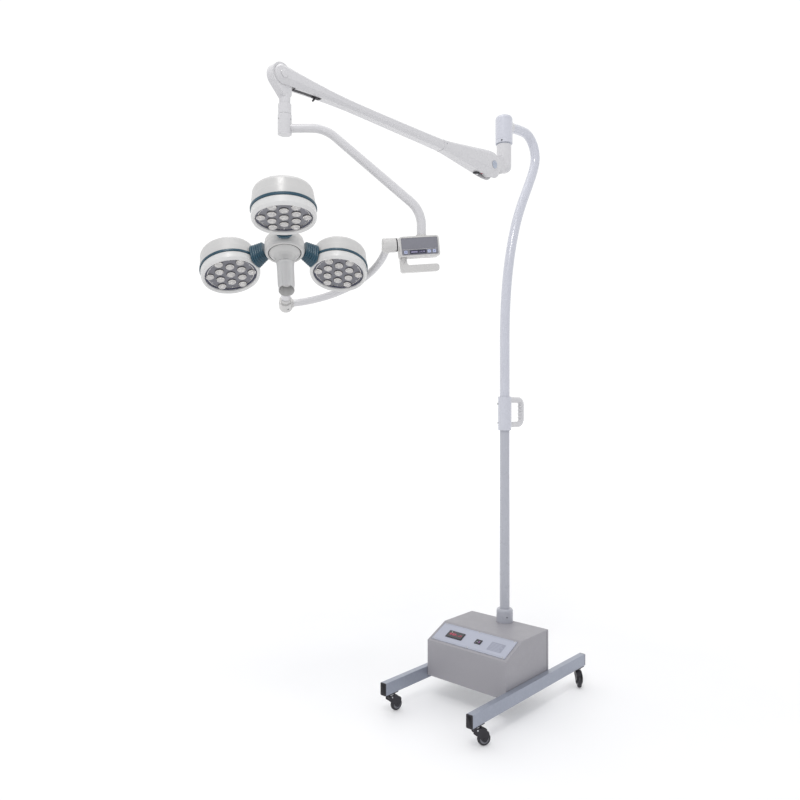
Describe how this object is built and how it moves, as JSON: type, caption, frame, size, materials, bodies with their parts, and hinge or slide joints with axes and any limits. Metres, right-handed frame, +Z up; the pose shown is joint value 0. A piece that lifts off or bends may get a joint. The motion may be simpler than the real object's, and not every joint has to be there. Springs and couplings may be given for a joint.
{
  "type": "surgical light",
  "caption": "Mobile surgical light: castor base with battery box, gooseneck mast, spring-balanced arm and a gimballed LED lamp head with round pods and a centre handle.",
  "frame": {"origin": "centre of the object's footprint box, on the floor", "axes": "+Z up; -Y is the way the spring arm and the control panel face at rest; +X to the viewer's right when facing the control panel"},
  "size_m": [0.5906, 1.7122, 2.484],
  "materials": {
    "rail": "satin silver paint",
    "black_plastic": "fine moulded grain",
    "steel_plate": "zinc plated",
    "box_paint": "fine textured powder coat",
    "panel": "satin printed panel",
    "display": "gloss window",
    "battery": "matte case",
    "charger": "folded metal case",
    "mast_paint": "satin enamel",
    "casting": "white enamel",
    "handle_paint": "white enamel",
    "white_tube": "white enamel",
    "pin_steel": "zinc plated",
    "control_plastic": "satin moulded",
    "fascia_plastic": "satin film",
    "key_plastic": "satin",
    "hub_plastic": "satin moulded",
    "lamp_shell": "satin enamel",
    "teal_band": "satin moulded",
    "lens_plastic": "clear lenses over a grey plate",
    "castor_tyre": "smooth rubber"
  },
  "bodies": {
    "cart": {"left_rail": "rail", "right_rail": "rail", "left_front_rail_cap": "black_plastic", "left_rear_rail_cap": "black_plastic", "right_front_rail_cap": "black_plastic", "right_rear_rail_cap": "black_plastic", "base_pan": "steel_plate", "box_cover": "box_paint", "control_panel": "panel", "display_window": "display", "battery_pack": "battery", "charger_unit": "charger", "mains_inlet": "black_plastic", "mast_collar": "mast_paint", "lower_mast": "mast_paint", "clamp_sleeve": "casting", "push_handle": "handle_paint", "gooseneck": "white_tube", "mast_head_cap": "casting"},
    "front_right_castor": {"castor_fork_fr": "black_plastic"},
    "front_right_wheel": {"castor_wheel_fr": "castor_tyre"},
    "front_left_castor": {"castor_fork_fl": "black_plastic"},
    "front_left_wheel": {"castor_wheel_fl": "castor_tyre"},
    "rear_right_castor": {"castor_fork_rr": "black_plastic"},
    "rear_right_wheel": {"castor_wheel_rr": "castor_tyre"},
    "rear_left_castor": {"castor_fork_rl": "black_plastic"},
    "rear_left_wheel": {"castor_wheel_rl": "castor_tyre"},
    "rocker": {"rocker_switch": "black_plastic"},
    "swivel": {"swivel_knuckle": "casting"},
    "arm": {"arm_rear_cover": "casting", "arm_front_tube": "casting", "rear_pivot_pin": "pin_steel", "front_pivot_pin": "pin_steel", "balance_spring": "pin_steel"},
    "link": {"parallel_link": "pin_steel"},
    "front_yoke": {"front_knuckle": "casting"},
    "bow": {"outer_bow": "casting", "control_box": "control_plastic", "control_fascia": "fascia_plastic", "adjust_grip": "control_plastic"},
    "power_button": {"power_key": "key_plastic"},
    "dim_button": {"dim_key": "key_plastic"},
    "bright_button": {"bright_key": "key_plastic"},
    "yoke_arm": {"inner_bow": "casting"},
    "lamp_head": {"hub_housing": "hub_plastic", "hub_spindle": "casting", "handle_mount": "hub_plastic", "pod_shell_front": "lamp_shell", "pod_band_front": "teal_band", "pod_bezel_front": "hub_plastic", "pod_lens_array_front": "lens_plastic", "pod_shell_right": "lamp_shell", "pod_band_right": "teal_band", "pod_bezel_right": "hub_plastic", "pod_lens_array_right": "lens_plastic", "pod_shell_left": "lamp_shell", "pod_band_left": "teal_band", "pod_bezel_left": "hub_plastic", "pod_lens_array_left": "lens_plastic"},
    "handle": {"sterile_handle": "hub_plastic"}
  },
  "joints": [
    {"name": "front_right_castor_swivel", "type": "hinge", "parent": "cart", "child": "front_right_castor", "pos_m": [0.1978, 0.0601, 0.0726], "axis": [0, 0, 1], "continuous": true},
    {"name": "front_right_wheel_spin", "type": "hinge", "parent": "front_right_castor", "child": "front_right_wheel", "pos_m": [0.21485, 0.08356, 0.025], "axis": [-0.809, 0.5878, 0], "continuous": true},
    {"name": "front_left_castor_swivel", "type": "hinge", "parent": "cart", "child": "front_left_castor", "pos_m": [-0.2272, 0.0601, 0.0726], "axis": [0, 0, 1], "continuous": true},
    {"name": "front_left_wheel_spin", "type": "hinge", "parent": "front_left_castor", "child": "front_left_wheel", "pos_m": [-0.22043, 0.0883, 0.025], "axis": [-0.9724, 0.2334, 0], "continuous": true},
    {"name": "rear_right_castor_swivel", "type": "hinge", "parent": "cart", "child": "rear_right_castor", "pos_m": [0.1978, 0.8121, 0.0726], "axis": [0, 0, 1], "continuous": true},
    {"name": "rear_right_wheel_spin", "type": "hinge", "parent": "rear_right_castor", "child": "rear_right_wheel", "pos_m": [0.21683, 0.79021, 0.025], "axis": [0.7547, 0.6561, 0], "continuous": true},
    {"name": "rear_left_castor_swivel", "type": "hinge", "parent": "cart", "child": "rear_left_castor", "pos_m": [-0.2272, 0.8121, 0.0726], "axis": [0, 0, 1], "continuous": true},
    {"name": "rear_left_wheel_spin", "type": "hinge", "parent": "rear_left_castor", "child": "rear_left_wheel", "pos_m": [-0.21358, 0.7865, 0.025], "axis": [0.8829, 0.4695, 0], "continuous": true},
    {"name": "rocker_tilt", "type": "hinge", "parent": "cart", "child": "rocker", "pos_m": [0.0133, 0.32958, 0.26343], "axis": [0, 0.9095, 0.4157], "range_deg": [0, 7]},
    {"name": "arm_swivel", "type": "hinge", "parent": "cart", "child": "swivel", "pos_m": [-0.0147, 0.5541, 2.3575], "axis": [0, 0, 1], "range_deg": [-150, 150]},
    {"name": "arm_tilt", "type": "hinge", "parent": "swivel", "child": "arm", "pos_m": [-0.0147, 0.4401, 2.2365], "axis": [-1, 0, 0], "range_deg": [-45, 20]},
    {"name": "link_tilt", "type": "hinge", "parent": "swivel", "child": "link", "pos_m": [-0.0147, 0.4401, 2.23], "axis": [-1, 0, 0], "range_deg": [-45, 20]},
    {"name": "front_level", "type": "hinge", "parent": "arm", "child": "front_yoke", "pos_m": [-0.0147, -0.6659, 2.245], "axis": [-1, 0, 0], "range_deg": [-20, 45]},
    {"name": "bow_swivel", "type": "hinge", "parent": "front_yoke", "child": "bow", "pos_m": [-0.0147, -0.6449, 2.13], "axis": [0, 0, 1], "range_deg": [-170, 170]},
    {"name": "power_press", "type": "slide", "parent": "bow", "child": "power_button", "axis": [-0.7976, 0.6032, 0], "range_m": [0, 0.001], "stiffness_N_per_m": 600},
    {"name": "dim_press", "type": "slide", "parent": "bow", "child": "dim_button", "axis": [-0.7976, 0.6032, 0], "range_m": [0, 0.001], "stiffness_N_per_m": 600},
    {"name": "bright_press", "type": "slide", "parent": "bow", "child": "bright_button", "axis": [-0.7976, 0.6032, 0], "range_m": [0, 0.001], "stiffness_N_per_m": 600},
    {"name": "elbow_turn", "type": "hinge", "parent": "bow", "child": "yoke_arm", "pos_m": [0.19515, -0.36743, 1.7435], "axis": [0.6004, 0.7939, 0.0958], "range_deg": [-70, 80]},
    {"name": "head_tilt", "type": "hinge", "parent": "yoke_arm", "child": "lamp_head", "pos_m": [-0.24362, -0.45712, 1.58862], "axis": [-0.7154, 0.5868, -0.3793], "range_deg": [-170, 170]},
    {"name": "handle_twist", "type": "hinge", "parent": "lamp_head", "child": "handle", "pos_m": [0.01108, -0.66127, 1.63606], "axis": [-0.3222, 0.2046, 0.9243], "range_deg": [-60, 60]}
  ],
  "couplings": [
    {"joint": "link_tilt", "follows": "arm_tilt", "ratio": 1},
    {"joint": "front_level", "follows": "arm_tilt", "ratio": -1}
  ]
}
